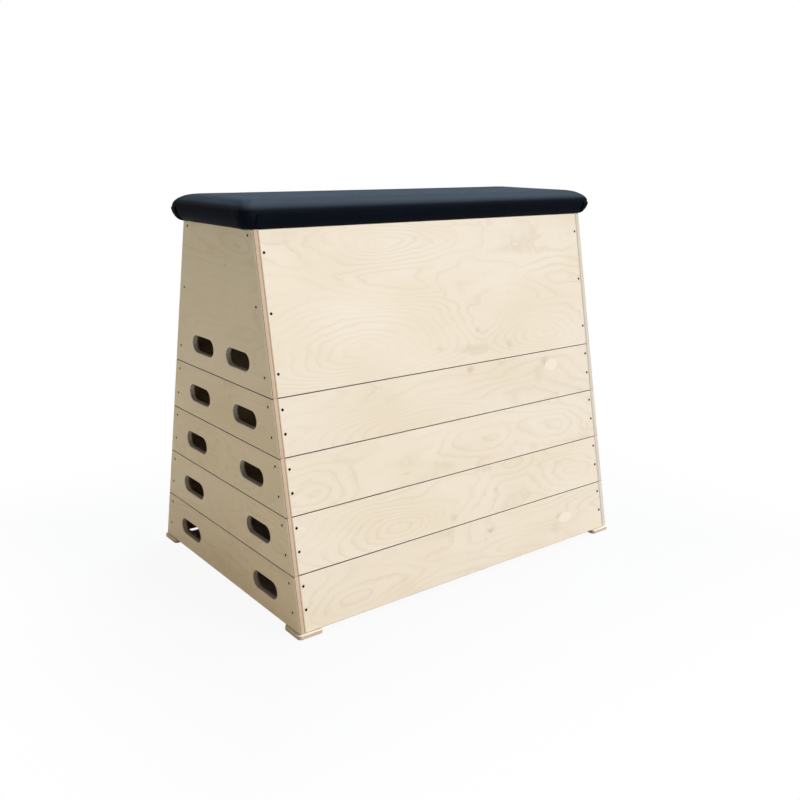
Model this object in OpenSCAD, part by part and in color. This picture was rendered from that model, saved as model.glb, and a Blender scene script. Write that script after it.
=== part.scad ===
// Vaulting box: four lower sections and a tall top section of birch plywood, stacked on locating
// corner posts, under a padded top. Millimetres, +Z up, +X along the box, front at -Y.
// The origin is on the floor, under the middle of the box.

/* [Box] */
// Length over the end panels
box_l = 1210; // [700:5:1600]
// Width over the long panels at the bottom edge of the wood
base_w = 790; // [700:5:1000]
// Width over the long panels at the top edge of the wood
top_w = 380; // [340:5:560]
// Height of each lower section
section_h = 150; // [140:5:240]
// Number of lower sections
lower_count = 4; // [1:1:4]
// Height of the wood of the top section
top_h = 415; // [200:5:600]
// Thickness of every plywood panel
panel_t = 18; // [12:1:24]
// Radius on the outer edges of the panels
edge_round = 2.5; // [1:0.5:4]

/* [Handholes] */
// Length of a handhole
hole_w = 124; // [90:1:160]
// Height of a handhole
hole_h = 48; // [30:1:60]
// Height of a handhole's middle above the lower edge of its section
hole_rise = 70; // [50:1:80]
// Distance of a handhole's middle from the sloping edge beside it
hole_in = 161; // [150:1:165]
// Radius on both rims of a handhole
hole_round = 4; // [1:0.5:6]

/* [Corner posts] */
// Width of a post along the box and across it
post_w = 32; // [28:1:45]
// Height of a post's lower end above the lower edge of its section
post_start = 38; // [34:1:42]
// Height that a post stands above the upper edge of its section
tenon_h = 28; // [15:1:30]
// Gap between a standing post and the panels that drop over it
tenon_gap = 1.5; // [0.5:0.25:3]
// Height of the taper at a post's tip
taper_h = 8; // [4:1:12]
// Inset of the taper at a post's tip
taper_in = 4; // [2:0.5:6]

/* [Screws] */
// Diameter of a screw's head
head_d = 7.5; // [6:0.5:9]
// Diameter of a screw's shank
shank_d = 4; // [3:0.5:5]
// Length of a panel screw beyond the panel
screw_bite = 22; // [15:1:26]
// Extra radius of the hole in the panel round the shank
shank_gap = 0.2; // [0.1:0.05:0.5]
// Distance of a screw's middle inside the post, from the panel beside it
screw_into_post = 8.5; // [6:0.5:14]
// Height of an end panel's lowest screws above the lower edge of the panel
end_screw_low = 48; // [46:1:50]
// Distance of an end panel's highest screws below the upper edge, lower sections
end_screw_high = 25; // [15:1:30]
// Distance of an end panel's highest screws below the upper edge, top section
top_end_screw_high = 16; // [12:1:30]
// Height of a long panel's lowest screws above the lower edge of the panel
long_screw_low = 59; // [58:1:65]
// Distance of a long panel's highest screws below the upper edge, lower sections
long_screw_high = 30; // [25:1:40]
// Distance of a long panel's highest screws below the upper edge, top section
top_long_screw_high = 57; // [45:1:80]

/* [Feet] */
// Thickness of a foot
foot_t = 12; // [8:1:25]
// Side of a foot
foot_w = 76; // [70:1:100]
// Distance that a foot stands out beyond the panels
foot_out = 6; // [2:1:12]
// Radius of a foot's corners
foot_round = 10; // [4:1:14]
// Length of a foot screw beyond the foot
foot_screw_bite = 22; // [15:1:30]

/* [Pad] */
// Height of the pad above the wood
pad_h = 73; // [55:1:100]
// Distance that the pad's belly stands out beyond the end panels
pad_over_end = 35; // [26:1:50]
// Distance that the pad's belly stands out beyond the long panels
pad_over_side = 18; // [14:1:30]
// Height of the belly, the widest line, above the pad's underside
belly_h = 33; // [26:1:40]
// Distance that the pad's underside stands out beyond the end panels
under_over_end = 15; // [10:1:20]
// Distance that the pad's underside stands out beyond the long panels
under_over_side = 0; // [0:1:8]
// Inset of the flat top from the belly at the ends
roll_end = 60; // [30:1:80]
// Inset of the flat top from the belly at the sides
roll_side = 66; // [30:1:75]
// Rise of the crown above the edge of the flat top
crown_h = 2; // [0.5:0.5:8]
// Radius of the pad's corners in plan
pad_corner_r = 26; // [20:1:40]
// Distance that the corners are drawn in behind the middle of each side
corner_draw = 3; // [0:0.5:5]
// Thickness of the vinyl cover
vinyl_t = 1.2; // [0.8:0.1:2]
// Thickness of the pad's plywood board
board_t = 18; // [12:1:18]
// Gap between the edge of the pad's board and the vinyl beside it at the drawn-in corners
board_gap = 1.8; // [1:0.1:5]
// Width of the flap under the board, beyond the staples
flap_past = 8; // [4:1:20]

/* [Cleats and staples] */
// Side of the cleats that carry the pad's board
cleat_w = 25; // [20:1:30]
// Gap between a cleat's end and the post beside it
cleat_gap = 3; // [1:1:10]
// Number of screws from each cleat into the board, and from each cleat into its panel
cleat_screws_each = 4; // [2:1:6]
// Length of a cleat screw beyond the cleat
cleat_screw_bite = 11; // [8:1:11]
// Distance between the staples
staple_pitch = 60; // [40:5:120]
// Distance between a cleat and the staples beside it
staple_clear = 10; // [6:1:15]
// Width of a staple's crown
staple_w = 10; // [6:1:12]
// Thickness of a staple's wire
staple_wire = 0.9; // [0.6:0.1:1.2]
// Length of a staple's legs
staple_leg = 8; // [6:1:10]

/* [Hidden] */
$fn = 48;
// Length that cutting shapes run past what they cut
past = 1;
// Facets in the arc at a long panel's outer edge
arc_steps = 5;
// Growth of an end panel's rounding circle, so that its arc meets each face at a slight angle
arc_over = 1.02;
// Points along the pad's long and short sides, and along the arc of a corner in plan
side_steps = 10;
end_steps = 4;
corner_steps = 4;
// Steps from the pad's underside to the belly, and from the belly to the flat top
low_steps = 4;
high_steps = 6;
// Sizes of the rings on the pad's crown, as shares of the flat top
top_shares = [0.6, 0.2];
// Least radius of the pad's corners in plan, high on the roll
least_r = 6;

wood_h = lower_count * section_h + top_h;
lean = (base_w - top_w) / 2 / wood_h;
lean_angle = atan(lean);
// Thickness of a long panel measured level
panel_level = panel_t / cos(lean_angle);
// Distance from the middle to the end panels' outer and inner faces
end_x = box_l / 2;
inner_x = end_x - panel_t;
// Height of the wood's upper edge, and of the pad board's underside
pad_z = foot_t + wood_h;
board_z = pad_z + vinyl_t;
// Inset of the underside from the belly, at the ends and at the sides
tuck_end = pad_over_end - under_over_end;
tuck_side = pad_over_side - under_over_side;
// Distance of the pad board's edge inside the edge of the wood below it
board_inset = vinyl_t + corner_draw + board_gap;
board_l = box_l - 2 * board_inset;
board_w = top_w - 2 * board_inset;
// Depth of a countersunk head with a 90 degree cone
head_h = (head_d - shank_d) / 2;
// Length of a screw's pointed tip
tip_h = 5;
// Depth of the recess over a foot screw's head
foot_recess = 2;
// Places of a foot's two screws, in from the outer faces of the panels: [along, across]
foot_screw_spots = [
    [panel_t + post_w * 0.25, panel_level + post_w * 0.75],
    [panel_t + post_w * 0.75, panel_level + post_w * 0.4]
];
screw_l = panel_t + screw_bite;
foot_screw_l = foot_t - foot_recess + foot_screw_bite;
cleat_screw_l = cleat_w + cleat_screw_bite;
// Distance of the staples in from the edge of the board, and width of the vinyl folded under it
staple_in = panel_level + cleat_w + staple_clear - board_inset;
flap_w = staple_in + flap_past;
// Half the length of a cleat, which ends beside the posts
cleat_half = inner_x - post_w - cleat_gap;
// Places along the box of the screws from a cleat into the board
cleat_spots = [for (i = [1 : cleat_screws_each]) (2 * i / (cleat_screws_each + 1) - 1) * cleat_half];
// Distance along the cleat from a board screw to the panel screw beside it
cleat_stagger = 20;
wood_colour = [0.90, 0.82, 0.68];
edge_colour = [0.80, 0.68, 0.52];

top_section = lower_count;
sections = [0 : top_section];
sides = [-1, 1];

function end_name(side) = side < 0 ? "left" : "right";
function long_name(side) = side < 0 ? "front" : "back";
function section_name(s) = s < top_section ? str("section_", s + 1) : "top";
function section_z(s) = foot_t + s * section_h;
function section_height(s) = s < top_section ? section_h : top_h;

// Half the width over the long panels, and to their inner faces, at height z
function half_w(z) = base_w / 2 - lean * (z - foot_t);
function inner_y(z) = half_w(z) - panel_level;

// Heights of the screws above a section's lower edge
function screw_rows(height, low, high) =
    height > 2 * section_h ? [low, (low + height - high) / 2, height - high] : [low, height - high];
function end_rows(s) =
    screw_rows(section_height(s), end_screw_low, s < top_section ? end_screw_high : top_end_screw_high);
function long_rows(s) =
    screw_rows(section_height(s), long_screw_low, s < top_section ? long_screw_high : top_long_screw_high);

// Points of an arc of radius r that rounds the corner b between a and c
function round_corner(a, b, c, r) =
    let (
        u = (a - b) / norm(a - b),
        v = (c - b) / norm(c - b),
        half = acos(u * v) / 2,
        middle = b + (u + v) / norm(u + v) * r / sin(half),
        from = b + u * r / tan(half) - middle,
        to = b + v * r / tan(half) - middle,
        start = atan2(from.y, from.x),
        turn = atan2(to.y, to.x) - start,
        sweep = turn > 180 ? turn - 360 : turn < -180 ? turn + 360 : turn
    )
    [for (i = [0 : arc_steps]) let (t = start + sweep * i / arc_steps) middle + r * [cos(t), sin(t)]];

// Draws an outline given in the YZ plane and stretches it along +X
module along_x(length) {
    rotate([90, 0, 90]) linear_extrude(length) children();
}

// What a rounding cutter takes off a square corner at the origin
module corner_waste(r) {
    difference() {
        translate([-past, -past]) square(r + past);
        translate([r, r]) circle(r * arc_over);
    }
}

// Rounds the edges of a plate whose outer face lies at x = 0, inside the closed outline in YZ
module edge_cutters(outline, r) {
    for (i = [0 : len(outline) - 1]) {
        p = outline[i];
        q = outline[(i + 1) % len(outline)];
        translate([0, q.x, q.y])
            rotate([atan2(q.y - p.y, q.x - p.x), 0, 0])
                rotate([90, 0, 0])
                    translate([0, 0, -past]) linear_extrude(norm(q - p) + 2 * past) corner_waste(r);
    }
}

// Rounds one rim of a handhole; the face lies at x = 0 and the panel beyond it
module handhole_rim() {
    straight = (hole_w - hole_h) / 2;
    for (side = sides) {
        translate([0, side * straight, 0])
            rotate([0, 90, 0])
                rotate_extrude() translate([hole_h / 2 + hole_round, 0]) mirror([1, 0]) rim_waste();
        scale([1, 1, side])
            translate([0, straight, hole_h / 2 + hole_round])
                rotate([90, 0, 0]) linear_extrude(2 * straight) rotate(-90) rim_waste();
    }
}

// The waste beside a rounded rim: x runs from the rim's outer line to the hole, y into the panel
module rim_waste() {
    difference() {
        translate([0, -past]) square([hole_round + past, hole_round + past]);
        translate([0, hole_round]) circle(hole_round);
    }
}

module handhole() {
    translate([-past, 0, 0])
        along_x(panel_t + 2 * past) {
            square([hole_w - hole_h, hole_h], center = true);
            for (side = sides) translate([side * (hole_w - hole_h) / 2, 0]) circle(hole_h / 2);
        }
    handhole_rim();
    translate([panel_t, 0, 0]) mirror([1, 0, 0]) handhole_rim();
}

// A screw along +Z with its flat head at the origin's level
module screw(length) {
    tip = min(tip_h, length / 3);
    color([0.12, 0.11, 0.10])
        rotate_extrude()
            polygon([
                [0, 0], [head_d / 2, 0], [shank_d / 2, head_h],
                [shank_d / 2, length - tip], [0, length]
            ]);
}

// The hole in the piece under a screw's head
module clearance_hole(depth) {
    translate([0, 0, -past]) cylinder(h = depth + 2 * past, d = shank_d + 2 * shank_gap);
    cylinder(h = head_h, d1 = head_d, d2 = shank_d);
    translate([0, 0, -past]) cylinder(h = past, d = head_d);
}

// The hole that a screw's shank cuts in the piece that it holds
module pilot_hole(length) {
    tip = min(tip_h, length / 3);
    cylinder(h = length - tip, d = shank_d);
    translate([0, 0, length - tip]) cylinder(h = tip, d1 = shank_d, d2 = 0);
}

// Puts children at each screw of an end panel; local +Z points into the wood
module at_end_screws(s, end_side) {
    for (rise = end_rows(s), long_side = sides) {
        z = section_z(s) + rise;
        translate([end_side * end_x, long_side * (half_w(z) - panel_level - screw_into_post), z])
            rotate([0, -end_side * 90, 0]) children();
    }
}

// Puts children at each screw of a long panel; local +Z points into the wood
module at_long_screws(s, long_side) {
    for (rise = long_rows(s), end_side = sides) {
        z = section_z(s) + rise;
        translate([end_side * (inner_x - screw_into_post), long_side * half_w(z), z])
            rotate([long_side * (90 + lean_angle), 0, 0]) children();
    }
}

module end_panel(s, end_side) {
    low = section_z(s);
    high = low + section_height(s);
    hole_z = low + hole_rise;
    outline = [[-half_w(low), low], [half_w(low), low], [half_w(high), high], [-half_w(high), high]];
    color(wood_colour)
        difference() {
            scale([-end_side, 1, 1])
                translate([-end_x, 0, 0])
                    difference() {
                        along_x(panel_t) polygon(outline);
                        edge_cutters(outline, edge_round);
                        for (side = sides)
                            translate([0, side * (half_w(hole_z) - hole_in), hole_z]) handhole();
                    }
            at_end_screws(s, end_side) clearance_hole(panel_t);
        }
}

module long_panel(s, long_side) {
    low = section_z(s);
    high = low + section_height(s);
    corners = [
        [inner_y(low), low], [half_w(low), low], [half_w(high), high], [inner_y(high), high]
    ];
    outline = concat(
        [corners[0]],
        round_corner(corners[0], corners[1], corners[2], edge_round),
        round_corner(corners[1], corners[2], corners[3], edge_round),
        [corners[3]]
    );
    color(wood_colour)
        difference() {
            scale([1, long_side, 1])
                translate([-inner_x, 0, 0]) along_x(2 * inner_x) polygon(outline);
            at_long_screws(s, long_side) clearance_hole(panel_t);
            if (s == top_section) at_cleat_screws(long_side) pilot_hole(cleat_screw_l);
        }
}

// A post leans with the long panel. Its tip stands above the section, clear of the next panels.
module post(s, end_side, long_side) {
    low = section_z(s) + (s == 0 ? 0 : post_start);
    high = section_z(s) + section_height(s);
    tip = s < top_section ? high + tenon_h : high;
    across = s < top_section ? concat(
        [[inner_y(low), low], [inner_y(high), high], [inner_y(high) - tenon_gap, high]],
        [[inner_y(tip - taper_h) - tenon_gap, tip - taper_h], [inner_y(tip) - tenon_gap - taper_in, tip]]
    ) : [[inner_y(low), low], [inner_y(high), high]];
    along = s < top_section ? [
        [inner_x, low], [inner_x, high], [inner_x - tenon_gap, high],
        [inner_x - tenon_gap, tip - taper_h], [inner_x - tenon_gap - taper_in, tip]
    ] : [[inner_x, low], [inner_x, high]];
    color(edge_colour)
        difference() {
            scale([end_side, long_side, 1])
                intersection() {
                    translate([inner_x - post_w, 0, 0])
                        along_x(post_w)
                            polygon(concat(across, [
                                [inner_y(tip) - post_w, tip], [inner_y(low) - post_w, low]
                            ]));
                    translate([0, inner_y(low) + past, 0])
                        rotate([90, 0, 0])
                            linear_extrude(inner_y(low) - inner_y(tip) + post_w + 2 * past)
                                polygon(concat(along, [
                                    [inner_x - post_w, tip], [inner_x - post_w, low]
                                ]));
                }
            at_end_screws(s, end_side) pilot_hole(screw_l);
            at_long_screws(s, long_side) pilot_hole(screw_l);
            if (s == 0) at_foot_screws(end_side, long_side) pilot_hole(foot_screw_l);
        }
}

module panel_screws(s) {
    for (side = sides) {
        at_end_screws(s, side) screw(screw_l);
        at_long_screws(s, side) screw(screw_l);
    }
}

// Puts children at each screw of one foot; local +Z points up into the post
module at_foot_screws(end_side, long_side) {
    for (spot = foot_screw_spots)
        translate([end_side * (end_x - spot.x), long_side * (base_w / 2 - spot.y), foot_recess])
            children();
}

module foot(end_side, long_side) {
    far = foot_w - 2 * foot_round;
    color(edge_colour)
        difference() {
            scale([end_side, long_side, 1])
                translate([end_x + foot_out - foot_w, base_w / 2 + foot_out - foot_w, 0])
                    linear_extrude(foot_t) {
                        translate([foot_round, 0]) square([far, foot_w]);
                        translate([0, foot_round]) square([foot_w, far]);
                        for (x = [0, far], y = [0, far])
                            translate([foot_round + x, foot_round + y]) circle(foot_round);
                    }
            at_foot_screws(end_side, long_side) {
                clearance_hole(foot_t);
                translate([0, 0, -foot_recess - past]) cylinder(h = foot_recess + past, d = head_d);
            }
        }
}

module foot_screws() {
    for (end_side = sides, long_side = sides)
        at_foot_screws(end_side, long_side) screw(foot_screw_l);
}

// Puts children at each screw from a cleat up into the pad's board
module at_board_screws(long_side) {
    for (x = cleat_spots)
        translate([x, long_side * (inner_y(pad_z - cleat_w / 2) - cleat_w / 2), pad_z - cleat_w])
            children();
}

// Puts children at each screw from a cleat out into the long panel
module at_cleat_screws(long_side) {
    z = pad_z - cleat_w / 2;
    for (x = cleat_spots)
        translate([x + cleat_stagger, long_side * (inner_y(z) - cleat_w), z])
            rotate([-long_side * (90 - lean_angle), 0, 0]) children();
}

module pad_cleat(long_side) {
    low = pad_z - cleat_w;
    color(edge_colour)
        difference() {
            scale([1, long_side, 1])
                translate([-cleat_half, 0, 0])
                    along_x(2 * cleat_half)
                        polygon([
                            [inner_y(low), low], [inner_y(pad_z), pad_z],
                            [inner_y(pad_z) - cleat_w, pad_z], [inner_y(low) - cleat_w, low]
                        ]);
            at_board_screws(long_side) clearance_hole(cleat_w);
            at_cleat_screws(long_side) clearance_hole(cleat_w);
        }
}

module cleat_screws() {
    for (side = sides) {
        at_board_screws(side) screw(cleat_screw_l);
        at_cleat_screws(side) screw(cleat_screw_l);
    }
}

module pad_board() {
    color(wood_colour)
        difference() {
            translate([-board_l / 2, -board_w / 2, board_z]) cube([board_l, board_w, board_t]);
            for (side = sides) at_board_screws(side) pilot_hole(cleat_screw_l);
            at_staples() staple();
        }
}

// How far a point at share t along a side is drawn in towards the middle of the pad
function draw_in(t) = corner_draw * pow(abs(2 * t - 1), 6);

// A ring of the pad: a rounded rectangle with its corners drawn in, anticlockwise from above
function pad_ring(hx, hy, r, z) =
    let (
        cx = hx - corner_draw - r,
        cy = hy - corner_draw - r,
        arc = [for (i = [0 : corner_steps]) 90 * i / corner_steps],
        across = [for (i = [1 : end_steps - 1]) i / end_steps],
        along = [for (i = [1 : side_steps - 1]) i / side_steps],
        quarter = [for (a = arc) [cx + r * cos(a), cy + r * sin(a), z]],
        back = [for (t = along) [cx * (1 - 2 * t), hy - draw_in(t), z]],
        left = [for (t = across) [-hx + draw_in(t), cy * (1 - 2 * t), z]]
    )
    concat(
        quarter, back,
        [for (i = [corner_steps : -1 : 0]) [-quarter[i].x, quarter[i].y, z]], left,
        [for (p = quarter) [-p.x, -p.y, z]], [for (p = back) [-p.x, -p.y, z]],
        [for (i = [corner_steps : -1 : 0]) [quarter[i].x, -quarter[i].y, z]],
        [for (p = left) [-p.x, -p.y, z]]
    );

// The padded form, shrunk by skin on every side: tucked in below, rolled over above, crowned on top
module pad_form(skin) {
    hx = end_x + pad_over_end - skin;
    hy = top_w / 2 + pad_over_side - skin;
    low = pad_z + skin;
    belly = pad_z + belly_h;
    top = pad_z + pad_h - crown_h - skin;
    flat_x = hx - roll_end;
    flat_y = hy - roll_side;
    profile = concat(
        [for (i = [0 : low_steps]) let (a = 90 - 90 * i / low_steps)
            [hx - tuck_end * (1 - cos(a)), hy - tuck_side * (1 - cos(a)),
             pad_corner_r - tuck_side * (1 - cos(a)) / 2, belly - (belly - low) * sin(a)]],
        [for (i = [1 : high_steps]) let (a = 90 * i / high_steps)
            [hx - roll_end * (1 - cos(a)), hy - roll_side * (1 - cos(a)),
             max(pad_corner_r - roll_side * (1 - cos(a)) / 2, least_r), belly + (top - belly) * sin(a)]],
        [for (share = top_shares)
            [flat_x - flat_y * (1 - share), flat_y * share, least_r, top + crown_h * (1 - share * share)]]
    );
    rings = [for (p = profile) pad_ring(p[0], p[1], p[2], p[3])];
    count = len(rings[0]);
    last = len(rings) * count;
    points = concat([for (ring = rings) each ring], [[0, 0, low], [0, 0, top + crown_h]]);
    polyhedron(points, concat(
        [for (k = [0 : len(rings) - 2], i = [0 : count - 1])
            let (a = k * count + i, b = k * count + (i + 1) % count)
            each [[a, a + count, b], [b, a + count, b + count]]],
        [for (i = [0 : count - 1]) [last, i, (i + 1) % count]],
        [for (i = [0 : count - 1]) [last + 1, last - count + (i + 1) % count, last - count + i]]
    ));
}

module pad_foam() {
    color([0.85, 0.80, 0.55])
        difference() {
            pad_form(vinyl_t);
            translate([-board_l / 2, -board_w / 2, board_z - past])
                cube([board_l, board_w, board_t + past]);
        }
}

module pad_cover() {
    open_l = board_l - 2 * flap_w;
    open_w = board_w - 2 * flap_w;
    color([0.13, 0.15, 0.18])
        difference() {
            pad_form(0);
            pad_form(vinyl_t);
            translate([-open_l / 2, -open_w / 2, pad_z - past]) cube([open_l, open_w, vinyl_t + 2 * past]);
        }
}

// A staple's crown lies on the underside of the flap and its legs stand up in the board
module staple() {
    bar = [staple_w, staple_wire, staple_wire];
    translate([-staple_w / 2, -staple_wire / 2, -staple_wire]) cube(bar);
    for (side = sides)
        translate([side * (staple_w - staple_wire) / 2, 0, 0])
            translate([-staple_wire / 2, -staple_wire / 2, -staple_wire])
                cube([staple_wire, staple_wire, staple_leg + staple_wire]);
}

// Puts children at each staple, evenly spaced along the four sides of the board
module at_staples() {
    reach = [board_l / 2 - staple_in, board_w / 2 - staple_in];
    for (turn = [0, 1]) {
        run = reach[turn] - staple_pitch / 2;
        count = floor(2 * run / staple_pitch);
        for (i = [0 : count], side = sides) {
            place = count == 0 ? 0 : (2 * i / count - 1) * run;
            spot = turn == 0 ? [place, side * reach.y] : [side * reach.x, place];
            translate([spot.x, spot.y, pad_z]) rotate([0, 0, 90 * turn]) children();
        }
    }
}

module pad_staples() {
    color([0.7, 0.7, 0.72]) at_staples() staple();
}

for (s = sections, side = sides) {
    end_panel(s, side);
    long_panel(s, side);
}
for (s = sections, end = sides, long = sides)
    post(s, end, long);
for (s = sections)
    panel_screws(s);
for (end = sides, long = sides)
    foot(end, long);
foot_screws();
pad_cleat(-1);  // pad_cleat_front
pad_cleat(1);  // pad_cleat_back
cleat_screws();
pad_board();
pad_foam();
pad_cover();
pad_staples();
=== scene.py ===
# %% [markdown]
# # A vaulting box
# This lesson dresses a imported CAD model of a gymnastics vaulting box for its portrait. The CAD
# model gives every piece its place and size, in metres. Here each piece that shows is made again
# with the softened edges, veneer, laminated edges, screws and stretched vinyl of the real box.
# The origin is on the floor under the middle of the box, +X runs along it and the front is at -Y.

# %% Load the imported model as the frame
import math
import random

import bmesh
import bpy
import numpy as np
from mathutils import Matrix, Vector


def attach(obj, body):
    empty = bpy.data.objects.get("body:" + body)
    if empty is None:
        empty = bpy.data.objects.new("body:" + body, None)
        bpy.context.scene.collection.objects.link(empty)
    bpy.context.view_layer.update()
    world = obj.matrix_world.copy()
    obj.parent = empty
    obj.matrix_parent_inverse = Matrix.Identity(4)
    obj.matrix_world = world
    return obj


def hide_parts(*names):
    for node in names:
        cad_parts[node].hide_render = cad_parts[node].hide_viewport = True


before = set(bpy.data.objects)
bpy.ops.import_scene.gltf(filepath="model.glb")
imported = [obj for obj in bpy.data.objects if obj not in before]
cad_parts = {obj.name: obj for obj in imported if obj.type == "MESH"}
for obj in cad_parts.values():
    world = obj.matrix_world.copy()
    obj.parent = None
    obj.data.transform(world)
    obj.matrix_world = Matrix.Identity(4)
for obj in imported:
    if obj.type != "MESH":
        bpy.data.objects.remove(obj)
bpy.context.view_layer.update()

# %% [markdown]
# ## The camera
# A camera can be turned by eye until its picture looks right, but then nothing lines up exactly.
# This one was worked out from the corners of the plywood in the photograph, so it is given as a
# place, three angles and a focal length in pixels of an image 800 pixels wide. Its rotation is
# built from the directions that it calls right, up and forward. The middle of its view isn't
# the middle of the picture, because the picture was cropped, so it has a small shift.

# %% Place the camera
IMAGE = 800
SENSOR = 36
FOCAL = 907.6
VIEW_MIDDLE = (362.3, 379.5)
CAMERA_AT = (-1.7349, -2.1605, 1.2249)
yaw, pitch, roll = 0.64216, -0.25006, 0.010022
forward = Vector((math.sin(yaw) * math.cos(pitch), math.cos(yaw) * math.cos(pitch), math.sin(pitch)))
level_right = forward.cross(Vector((0, 0, 1))).normalized()
level_up = level_right.cross(forward)
right = math.cos(roll) * level_right + math.sin(roll) * level_up
up = math.cos(roll) * level_up - math.sin(roll) * level_right

lens = bpy.data.cameras.new("portrait_camera")
lens.sensor_width = SENSOR
lens.lens = FOCAL * SENSOR / IMAGE
lens.shift_x = (IMAGE / 2 - VIEW_MIDDLE[0]) / IMAGE
lens.shift_y = (VIEW_MIDDLE[1] - IMAGE / 2) / IMAGE
camera = bpy.data.objects.new("portrait_camera", lens)
turned = Matrix((right, up, -forward)).transposed().to_4x4()
camera.matrix_world = Matrix.Translation(CAMERA_AT) @ turned
bpy.context.scene.collection.objects.link(camera)
bpy.context.scene.camera = camera
print("camera lens", round(lens.lens, 2), "mm")

# %% [markdown]
# ## The sizes that the pieces share
# The box tapers from front to back: the long panels lean inwards by 205 mm over the height of
# the wood. Each leaning piece could be turned by its angle, but small errors would open gaps.
# Everything that leans takes its place from the same few functions instead, so the pieces meet
# as they do on the CAD model.

# %% Sizes of the box in metres
FOOT_T = 0.012
PANEL_T = 0.018
PLY_T = PANEL_T / 13
END_X = 0.605
INNER_X = END_X - PANEL_T
HALF_W = 0.395
PAD_Z = 1.027
WOOD_H = 1.015
LEAN = 0.205 / WOOD_H
LEAN_ANGLE = math.atan(LEAN)
PANEL_LEVEL = PANEL_T / math.cos(LEAN_ANGLE)
POST_W = 0.032
SECTION_H = 0.15
SECTIONS = ["section_1", "section_2", "section_3", "section_4", "top"]
BODY = {name: name for name in SECTIONS[:4]} | {"top": "top_section"}
LOW = {name: FOOT_T + SECTION_H * i for i, name in enumerate(SECTIONS)}
HIGH = {name: LOW[name] + SECTION_H for name in SECTIONS[:4]} | {"top": PAD_Z}
ALONG, ACROSS, UP = Vector((1, 0, 0)), Vector((0, 1, 0)), Vector((0, 0, 1))


def half_width(z):
    """From the middle of the box to the outer face of a long panel, at a height."""
    return HALF_W - LEAN * (z - FOOT_T)


def inner_y(z):
    """From the middle of the box to the inner face of a long panel, at a height."""
    return half_width(z) - PANEL_LEVEL


def into_long(side):
    """The direction that leads straight into the wood of a long panel."""
    return Vector((0, -side * math.cos(LEAN_ANGLE), -math.sin(LEAN_ANGLE)))


print("width at the floor and under the pad:", 2 * half_width(FOOT_T), round(2 * half_width(PAD_Z), 3))

# %% [markdown]
# ## Writing materials as sums
# A material is a web of nodes, and most of them only do arithmetic. They could be placed and
# linked one by one, as in the editor, but a formula is far easier to read. So a small class holds
# one output of the web and gives Python's signs to it. Every other node comes from one method
# that takes its type, its settings and its inputs.


# %% A class for node arithmetic
class Signal:
    """One output of a node, to calculate with."""

    def __init__(self, web, socket):
        self.web, self.socket = web, socket

    def math(self, operation, *others):
        return self.web.node("ShaderNodeMath", {"operation": operation}, [self, *others])

    def __add__(self, other):
        return self.math("ADD", other)

    def __sub__(self, other):
        return self.math("SUBTRACT", other)

    def __rsub__(self, other):
        return self.web.node("ShaderNodeMath", {"operation": "SUBTRACT"}, [other, self])

    def __mul__(self, other):
        return self.math("MULTIPLY", other)

    def __truediv__(self, other):
        return self.math("DIVIDE", other)

    def __rtruediv__(self, other):
        return self.web.node("ShaderNodeMath", {"operation": "DIVIDE"}, [other, self])

    def __abs__(self):
        return self.math("ABSOLUTE")

    __radd__ = __add__
    __rmul__ = __mul__

    def fract(self):
        return self.math("FRACT")

    def clip(self, low, high, start=0.0, end=1.0):
        """Start below low, end above high, and a smooth rise between them."""
        inputs = [self, low, high, start, end]
        return self.web.node("ShaderNodeMapRange", {"interpolation_type": "SMOOTHSTEP"}, inputs)


# %% A class for the nodes of one material
class Web:
    """The nodes of one material or world, with the shader that they end in."""

    def __init__(self, name, kind=bpy.data.materials):
        self.owner = kind.new(name)
        self.owner.use_nodes = True
        self.tree = self.owner.node_tree
        self.tree.nodes.clear()

    def node(self, kind, settings=None, inputs=(), output=0):
        """Adds a node: its settings first, then the values or links of its sockets."""
        made = self.tree.nodes.new(kind)
        for key, value in (settings or {}).items():
            if key == "stops":
                ramp = made.color_ramp
                for i, (place, colour) in enumerate(value):
                    stop = ramp.elements[i] if i < 2 else ramp.elements.new(place)
                    stop.position, stop.color = place, (*colour, 1)
            else:
                setattr(made, key, value)
        pairs = inputs.items() if isinstance(inputs, dict) else enumerate(inputs)
        for key, value in pairs:
            socket = made.inputs[key]
            if isinstance(value, Signal):
                self.tree.links.new(value.socket, socket)
            elif isinstance(value, tuple) and len(value) == 3 and socket.type == "RGBA":
                socket.default_value = (*value, 1)
            else:
                socket.default_value = value
        return Signal(self, made.outputs[output]) if made.outputs else None

    def place(self):
        """Where a point of the piece lies in the model, in metres, with its three parts."""
        point = self.node("ShaderNodeTexCoord", output="Object")
        parts = [self.node("ShaderNodeSeparateXYZ", inputs=[point], output=i) for i in range(3)]
        return point, *parts

    def vector(self, x, y, z):
        return self.node("ShaderNodeCombineXYZ", inputs=[x, y, z])

    def noise(self, point, scale, detail=2.0, roughness=0.5):
        inputs = {"Vector": point, "Scale": scale, "Detail": detail, "Roughness": roughness}
        return self.node("ShaderNodeTexNoise", inputs=inputs)

    def mix(self, share, first, second, blend="MIX"):
        """The colour first where share is 0 and second, or its blend with first, where it is 1."""
        settings = {"data_type": "RGBA", "blend_type": blend}
        return self.node("ShaderNodeMix", settings, {"Factor": share, 6: first, 7: second}, output=2)

    def finish(self, colour, roughness, height=None, distance=0.001, strength=1.0, specular=0.5, **constants):
        """Ends the web in a Principled shader, with an optional bump, and gives its material."""
        inputs = {"Base Color": colour, "Roughness": roughness, "Specular IOR Level": specular, **constants}
        if height is not None:
            bump = {"Strength": strength, "Distance": distance, "Height": height}
            inputs["Normal"] = self.node("ShaderNodeBump", inputs=bump)
        shader = self.node("ShaderNodeBsdfPrincipled", inputs=inputs)
        self.node("ShaderNodeOutputMaterial", inputs=[shader])
        return self.owner


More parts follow.
